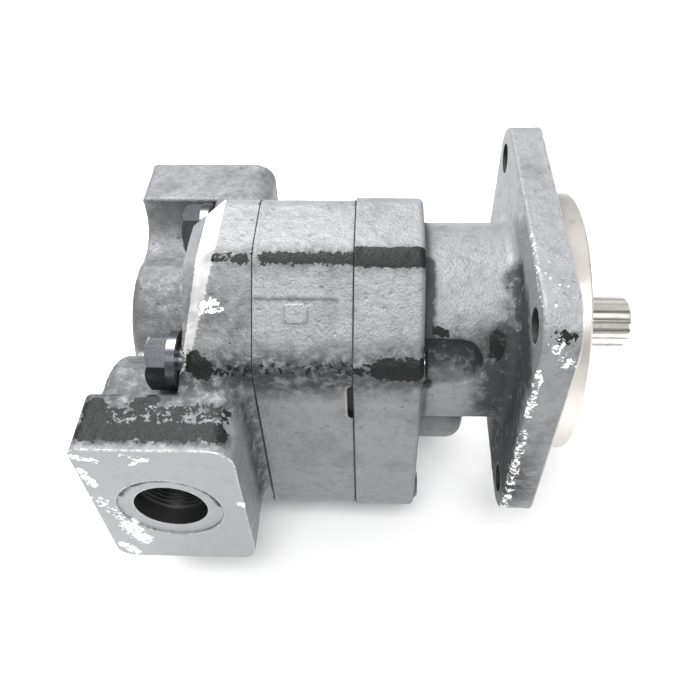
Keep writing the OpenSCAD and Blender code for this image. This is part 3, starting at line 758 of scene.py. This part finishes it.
SOOT_AND_SHADE = {
    "shaft_end": [
        # Dark bands along the long rounded edges: part grime, part painted shade
        ((-89, -20.5, 60), (-57, -20.5, 60), 9.0, 0.55),
        ((-89, -57, 24), (-57, -57, 24), 20.0, 0.75),
        # Painted shade in the near bolt pocket
        ((-55, -40, 19), (-38, -40, 19), 15.0, 1.3),
        ((-25, -41, 22), (-25, -43, 30), 15.0, 0.9),
        # Painted shade in the corner between the neck and the body
        *arc_marks((BODY_FRONT + 1.0, 0, 0), (0, -1, 0), NECK_R, (78, 55, 32, 10), 5.0, 2.0),
        ((-16, -18, 48), (-16, -36, 46), 9.0, 1.3),
        ((-16, -36, 44), (-16, -60, 34), 14.0, 1.5),
        ((-16, -48, 28), (-16, -60, -40), 24.0, 1.5),
        ((-16, -40, -30), (-16, -40, -60), 30.0, 1.0),
    ],
    "housing": [
        ((-132, -33, 47.4), (-97, -33, 47.4), 1.6, 0.5),
        # Dark bands along the long rounded edges: part grime, part painted shade
        ((-133, -20.5, 60), (-89, -20.5, 60), 9.0, 0.6),
        ((-133, -57, 22), (-89, -57, 22), 20.0, 0.9),
    ],
    "port_end": [
        # Dark bands along the long rounded edges: part grime, part painted shade
        ((-167, -20.5, 60), (-134, -20.5, 60), 9.0, 0.5),
        ((-160, -57, 23), (-134, -57, 23), 18.0, 0.9),
        ((-205, -85, 18), (-145, -85, 18), 9.0, 1.2),
        ((-205, -64, 18), (-145, -64, 18), 18.0, 0.8),
        ((-206, -40, 0), (-172, -40, 0), 34.0, 0.6),
        ((-200, 10, 6), (-172, 10, 6), 34.0, 0.55),
        ((-160, -36, 42), (-136, -36, 42), 22.0, 0.45),
        ((-200, 60, 28), (-150, 60, 28), 40.0, 0.35),
        ((-200, 85, 28), (-150, 85, 28), 40.0, 0.35),
        ((-138, -62, 5), (-138, -62, -60), 12.0, 0.8),
        # Painted shadow along the upper edge of the near port's spotface, cast by its rim
        *arc_marks((PORT_X, SPOT_DEPTH + 0.9 - PAD_FACE, NEAR_PORT["z"]), (1, 0, 0),
                   NEAR_PORT["spot"] - 1.2, range(155, 0, -25), 1.9, 1.6),
        ((-200, 40, 10), (-170, 40, 10), 22.0, 0.5),
    ],
}

CHIPS = {
    "shaft_end": [
        ((-14, -73, 48), (-14, -73, 15), 4.5, 0.54),
        ((-14, -73, 5), (-14, -73, -68), 5.5, 0.56),
        ((-9, -72, 62), (-3, -73, 52), 7.0, 0.52),
        ((-15, -62, 70), (-15, -20, 73), 4.0, 0.44),
        ((-8, -34, 73), (-8, -62, 73), 9.0, 0.36),
    ],
    "housing": [
        ((-96, -58, -20), (-94, -58, -24), 3.0, 0.4),
    ],
    "port_end": [
        ((-155, -36, 45.5), (-150, -35, 46.2), 4.0, 0.75),
        ((-161, -38.5, 42.5), (-147, -37, 44), 2.6, 0.75),
        ((-206, -94, 13), (-198, -94, 10), 4.5, 0.62),
        ((-206, -94, 2), (-203, -94, -10), 4.5, 0.72),
        ((-205, -94, -20), (-198, -94, -40), 7.0, 0.55),
        ((-196, -94, -46), (-192, -94, -60), 9.0, 0.72),
        ((-204, -94, -66), (-199, -94, -74), 5.0, 0.75),
        ((-184, -94, 14), (-174, -94, 11), 5.0, 0.5),
        ((-183, -94, 7), (-176, -94, 12), 1.6, 0.8),
        ((-140, -94, -24), (-138, -94, -26), 3.0, 0.8),
    ],
}


def casting(name, key, fields, node):
    """Meshes one casting, roughens its as-cast skin, marks its surface and gives it its finish."""
    props = bpy.context.scene.pump_sizes
    sizes = {"fillet": props.cast_fillet / MM, "pad": props.pad_fillet / MM,
             "edge": props.cast_edge / MM, "gap": props.seam_gap / MM}

    def field(x, y, z):
        f = fields(x, y, z, sizes)
        return np.maximum(f["skin"], -least(*[f[k] for k in CUTS if k in f]))

    low, high = node_box(node)
    p, faces = contour(field, low - 1, high + 1, props.grid / MM)
    n = field_normals(field, p)
    parts = fields(*p.T, sizes)
    bare, oily, painted, light, seam = (parts.get(k, np.full(len(p), 50.0))
                                        for k in ("bare", "oily", "painted", "light", "seam"))
    edge = np.clip(1 + field(*(p - EDGE_DEPTH * n).T) / EDGE_DEPTH, 0, 1) * np.clip(seam / 2, 0, 1)
    # Painted shade in hollows, where other surfaces stand close above the skin, and in the seam gaps
    # between castings
    cavity = np.clip(1 - field(*(p + CAVITY_DEPTH * n).T) / CAVITY_DEPTH, 0, 1)
    cavity = np.maximum(cavity, seam < ON_SEAM)
    # The skin sinks in broad ripples and small dents, and never rises past the drawn shape
    loose = np.clip(least(bare, oily, painted, seam) / LOOSE_DEPTH, 0, 1) ** 2
    sink = (0.5 + 0.3 * value_noise(p, 17.0, 3) + 0.2 * value_noise(p, 4.5, 4))
    p = np.clip(p - n * (loose * sink * props.ripple / MM)[:, None], low, high)

    mesh = bpy.data.meshes.new(name)
    mesh.from_pydata((p * MM).tolist(), [], faces.tolist())
    mesh.validate()
    mesh.shade_smooth()
    mesh.set_sharp_from_angle(angle=SHARP)
    marks = {
        "bare": (np.abs(least(bare, oily)) < ON_FACE) & (painted > ON_FACE) & (seam > ON_FACE),
        "oily": (np.abs(oily) < ON_FACE) & (painted > ON_FACE),
        # Near the rear bevel the surface is smooth and carries a painted highlight
        "smooth": (np.abs(painted) < ON_FACE) | (light < HIGHLIGHT_DEPTH), "painted_highlight": light < HIGHLIGHT_DEPTH,
        "edge": edge, "cavity": cavity,
        "stain": spots(p, STAINS[key]), "soot_and_shade": spots(p, SOOT_AND_SHADE[key]),
        "chips": spots(p, CHIPS[key]),
    }
    for mark, values in marks.items():
        layer = mesh.attributes.new(mark, "FLOAT", "POINT")
        layer.data.foreach_set("value", np.asarray(values, np.float32))
    piece = bpy.data.objects.new(name, mesh)
    bpy.context.collection.objects.link(piece)
    mesh.materials.append(finish_for("painted_cast_iron"))
    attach(piece, PUMP_BODY)
    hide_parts(node)
    return piece


def port_thread(name, side, port, pitch):
    """A ring with a helical thread inside, set in a port's bore."""
    steps, per_pitch = 96, 8
    start, stop = PAD_FACE - SPOT_DEPTH - THREAD_START, PAD_FACE - PORT_DEPTH + 0.2
    rows = int((start - stop) / (pitch / per_pitch)) + 1
    turn = np.arange(steps) / steps
    depth = np.linspace(start, stop, rows)
    phase = (depth[:, None] / pitch + turn[None, :]) % 1.0
    ridge = np.clip(1.35 * np.abs(2 * phase - 1) - 0.15, 0, 1)
    ends = np.clip((start - depth) / pitch, 0, 1)[:, None]
    inner = port["thread"] - (port["thread"] - port["bore"]) * ridge * ends
    radius = np.vstack([inner, np.full((2, steps), port["thread"] + 0.8)])
    y = np.concatenate([depth, [stop, start]])[:, None] + np.zeros(steps)
    x = PORT_X + radius * np.cos(2 * np.pi * turn)
    z = port["z"] + radius * np.sin(2 * np.pi * turn)
    p = np.stack([x, side * y, z], -1).reshape(-1, 3)
    rings = len(radius)
    faces = []
    for i in range(rings):
        for j in range(steps):
            k, m = (i + 1) % rings, (j + 1) % steps
            loop = (i * steps + j, i * steps + m, k * steps + m, k * steps + j)
            faces.append(loop if side > 0 else loop[::-1])
    mesh = bpy.data.meshes.new(name)
    mesh.from_pydata((p * MM).tolist(), [], faces)
    mesh.shade_smooth()
    mesh.set_sharp_from_angle(angle=SHARP)
    piece = bpy.data.objects.new(name, mesh)
    bpy.context.collection.objects.link(piece)
    mesh.materials.append(finish_for("shaded_thread"))
    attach(piece, PUMP_BODY)


def dress_node(name, slot_name, edge_break):
    """Gives a carried-over CAD node its finish and broken edges."""
    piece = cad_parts[name]
    for socket in piece.material_slots:
        socket.material = finish_for(slot_name)
    if edge_break > 0:
        bevel = piece.modifiers.new("edge break", "BEVEL")
        bevel.width = edge_break
        bevel.segments = 2
        bevel.limit_method = "ANGLE"
        bevel.angle_limit = math.radians(32)
        bevel.harden_normals = False


# ---- Operators ----


class PUMP_OT_shaft_end_cover(bpy.types.Operator):
    """Build the shaft end casting with its flange, pilot and neck"""
    bl_idname = "pump.shaft_end_cover"
    bl_label = "Shaft end cover"

    def execute(self, context):
        casting("shaft_end_casting", "shaft_end", shaft_end_fields, "shaft_end_cover")
        return {"FINISHED"}


class PUMP_OT_gear_housing(bpy.types.Operator):
    """Build the gear housing casting"""
    bl_idname = "pump.gear_housing"
    bl_label = "Gear housing"

    def execute(self, context):
        casting("gear_housing_casting", "housing", housing_fields, "gear_housing")
        return {"FINISHED"}


class PUMP_OT_port_end_cover(bpy.types.Operator):
    """Build the port end casting with its pads, elbows and port threads"""
    bl_idname = "pump.port_end_cover"
    bl_label = "Port end cover"

    def execute(self, context):
        casting("port_end_casting", "port_end", port_end_fields, "port_end_cover")
        pitch = context.scene.pump_sizes.thread_pitch / MM
        port_thread("near_port_thread", -1, NEAR_PORT, pitch)
        port_thread("far_port_thread", 1, FAR_PORT, pitch)
        return {"FINISHED"}


class PUMP_OT_rotating_parts(bpy.types.Operator):
    """Finish the drive gear shaft and the idler gear"""
    bl_idname = "pump.rotating_parts"
    bl_label = "Gears and shaft"

    def execute(self, context):
        for name in ("drive_gear_shaft", "idler_gear"):
            dress_node(name, "ground_steel", context.scene.pump_sizes.edge_break)
        return {"FINISHED"}


class PUMP_OT_fasteners(bpy.types.Operator):
    """Finish the tie bolts, washers, dowels and snap ring"""
    bl_idname = "pump.fasteners"
    bl_label = "Fasteners"

    def execute(self, context):
        edge = context.scene.pump_sizes.edge_break
        for name in ("tie_bolts", "bolt_washers", "snap_ring"):
            dress_node(name, "dark_steel", edge)
        for name in ("front_dowels", "rear_dowels"):
            dress_node(name, "ground_steel", edge)
        return {"FINISHED"}


class PUMP_OT_bearings(bpy.types.Operator):
    """Finish the journal bushes and thrust plates"""
    bl_idname = "pump.bearings"
    bl_label = "Bushes and plates"

    def execute(self, context):
        for name in ("drive_front_bush", "drive_rear_bush", "idler_front_bush", "idler_rear_bush",
                     "front_thrust_plate", "rear_thrust_plate"):
            dress_node(name, "bronze", 0.0)
        return {"FINISHED"}


class PUMP_OT_seals(bpy.types.Operator):
    """Finish the shaft seal and the body and plate seals"""
    bl_idname = "pump.seals"
    bl_label = "Seals"

    def execute(self, context):
        for name in ("shaft_seal_case", "shaft_seal_spring"):
            dress_node(name, "pressed_steel", 0.0)
        for name in ("shaft_seal_lip", "front_body_seal", "rear_body_seal", "front_plate_seal",
                     "rear_plate_seal"):
            dress_node(name, "nitrile_rubber", 0.0)
        return {"FINISHED"}


def area_light(name, place_mm, target_mm, size_mm, watts):
    data = bpy.data.lights.new(name, "AREA")
    data.shape = "RECTANGLE"
    data.size, data.size_y = size_mm[0] * MM, size_mm[1] * MM
    data.energy = watts
    lamp = bpy.data.objects.new(name, data)
    lamp.location = Vector(place_mm) * MM
    lamp.rotation_euler = (Vector(target_mm) - Vector(place_mm)).to_track_quat("-Z", "Y").to_euler()
    bpy.context.collection.objects.link(lamp)


class PUMP_OT_stage(bpy.types.Operator):
    """Set up the floor, the soft lights and the camera"""
    bl_idname = "pump.stage"
    bl_label = "Studio"

    def execute(self, context):
        scene = context.scene
        # Floor: seamless white paper, matt and slightly uneven
        material, tree = new_material("matt white paper")
        fibre = add(tree, NOISE, {"Vector": place(tree, (40.0, 40.0, 40.0)), "Scale": 1.0})
        tint = add(tree, MIX, {0: fibre, 6: scene.pump_colours.floor, 7: linear("#f0f0f1")}, 2,
                   data_type="RGBA")
        finish_material(tree, {"Base Color": tint, "Roughness": 0.9})
        floor_z, reach = CAD_BOX[0][2], 6.0
        mesh = bpy.data.meshes.new("floor")
        mesh.from_pydata([(-reach, -reach, floor_z), (reach, -reach, floor_z),
                          (reach, reach, floor_z), (-reach, reach, floor_z)], [], [(0, 1, 2, 3)])
        mesh.materials.append(material)
        floor = bpy.data.objects.new("floor", mesh)
        bpy.context.collection.objects.link(floor)

        world = bpy.data.worlds.new("studio")
        scene.world = world
        world.use_nodes = True
        background = world.node_tree.nodes["Background"]
        background.inputs["Color"].default_value = (1.0, 1.0, 1.0, 1.0)
        background.inputs["Strength"].default_value = 0.45
        centre = (-85, 0, -20)
        area_light("key", (-290, 260, 660), centre, (420, 420), 11.5)
        area_light("front", (-80, -400, 660), centre, (420, 240), 5.5)
        area_light("low", (-90, -720, 60), centre, (500, 160), 0.6)
        area_light("side", (620, -160, 300), centre, (300, 400), 2.0)
        scene.view_settings.view_transform = "Standard"

        # The camera's angles, distance and lens were solved from the flange, body and bolts
        azimuth, elevation, roll = (math.radians(a) for a in (3.07, 48.782, -1.629))
        target, distance = Vector((-92.24, -11.30, -11.30)) * MM, 383.874 * MM
        back = Vector((math.sin(azimuth) * math.cos(elevation),
                       -math.cos(azimuth) * math.cos(elevation), math.sin(elevation)))
        right = Vector((math.cos(azimuth), math.sin(azimuth), 0))
        up = back.cross(right)
        across = math.cos(roll) * right + math.sin(roll) * up
        rise = -math.sin(roll) * right + math.cos(roll) * up
        data = bpy.data.cameras.new("camera")
        data.sensor_width = 36.0
        data.lens = 38.535
        data.clip_start, data.clip_end = 0.01, 50.0
        camera = bpy.data.objects.new("camera", data)
        spin = Matrix((across, rise, back)).transposed()
        camera.matrix_world = Matrix.Translation(target + back * distance) @ spin.to_4x4()
        bpy.context.collection.objects.link(camera)
        scene.camera = camera
        return {"FINISHED"}


OPERATORS = (PUMP_OT_shaft_end_cover, PUMP_OT_gear_housing, PUMP_OT_port_end_cover,
             PUMP_OT_rotating_parts, PUMP_OT_fasteners, PUMP_OT_bearings, PUMP_OT_seals,
             PUMP_OT_stage)


class PUMP_PT_panel(bpy.types.Panel):
    """Sizes, colours and build steps of the pump"""
    bl_idname = "PUMP_PT_panel"
    bl_label = "Hydraulic gear pump"
    bl_space_type = "VIEW_3D"
    bl_region_type = "UI"
    bl_category = "Pump"

    def draw(self, context):
        for group in (context.scene.pump_sizes, context.scene.pump_colours):
            for name in group.__annotations__:
                self.layout.prop(group, name)
        for operator in OPERATORS:
            self.layout.operator(operator.bl_idname)


CLASSES = (PumpSizes, PumpColours, *OPERATORS, PUMP_PT_panel)


def register():
    for cls in CLASSES:
        bpy.utils.register_class(cls)
    bpy.types.Scene.pump_sizes = PointerProperty(type=PumpSizes)
    bpy.types.Scene.pump_colours = PointerProperty(type=PumpColours)


def unregister():
    del bpy.types.Scene.pump_colours
    del bpy.types.Scene.pump_sizes
    for cls in reversed(CLASSES):
        bpy.utils.unregister_class(cls)


def main():
    register()
    bpy.ops.pump.stage()
    bpy.ops.pump.shaft_end_cover()
    bpy.ops.pump.gear_housing()
    bpy.ops.pump.port_end_cover()
    bpy.ops.pump.rotating_parts()
    bpy.ops.pump.fasteners()
    bpy.ops.pump.bearings()
    bpy.ops.pump.seals()


if __name__ == "__main__":
    main()
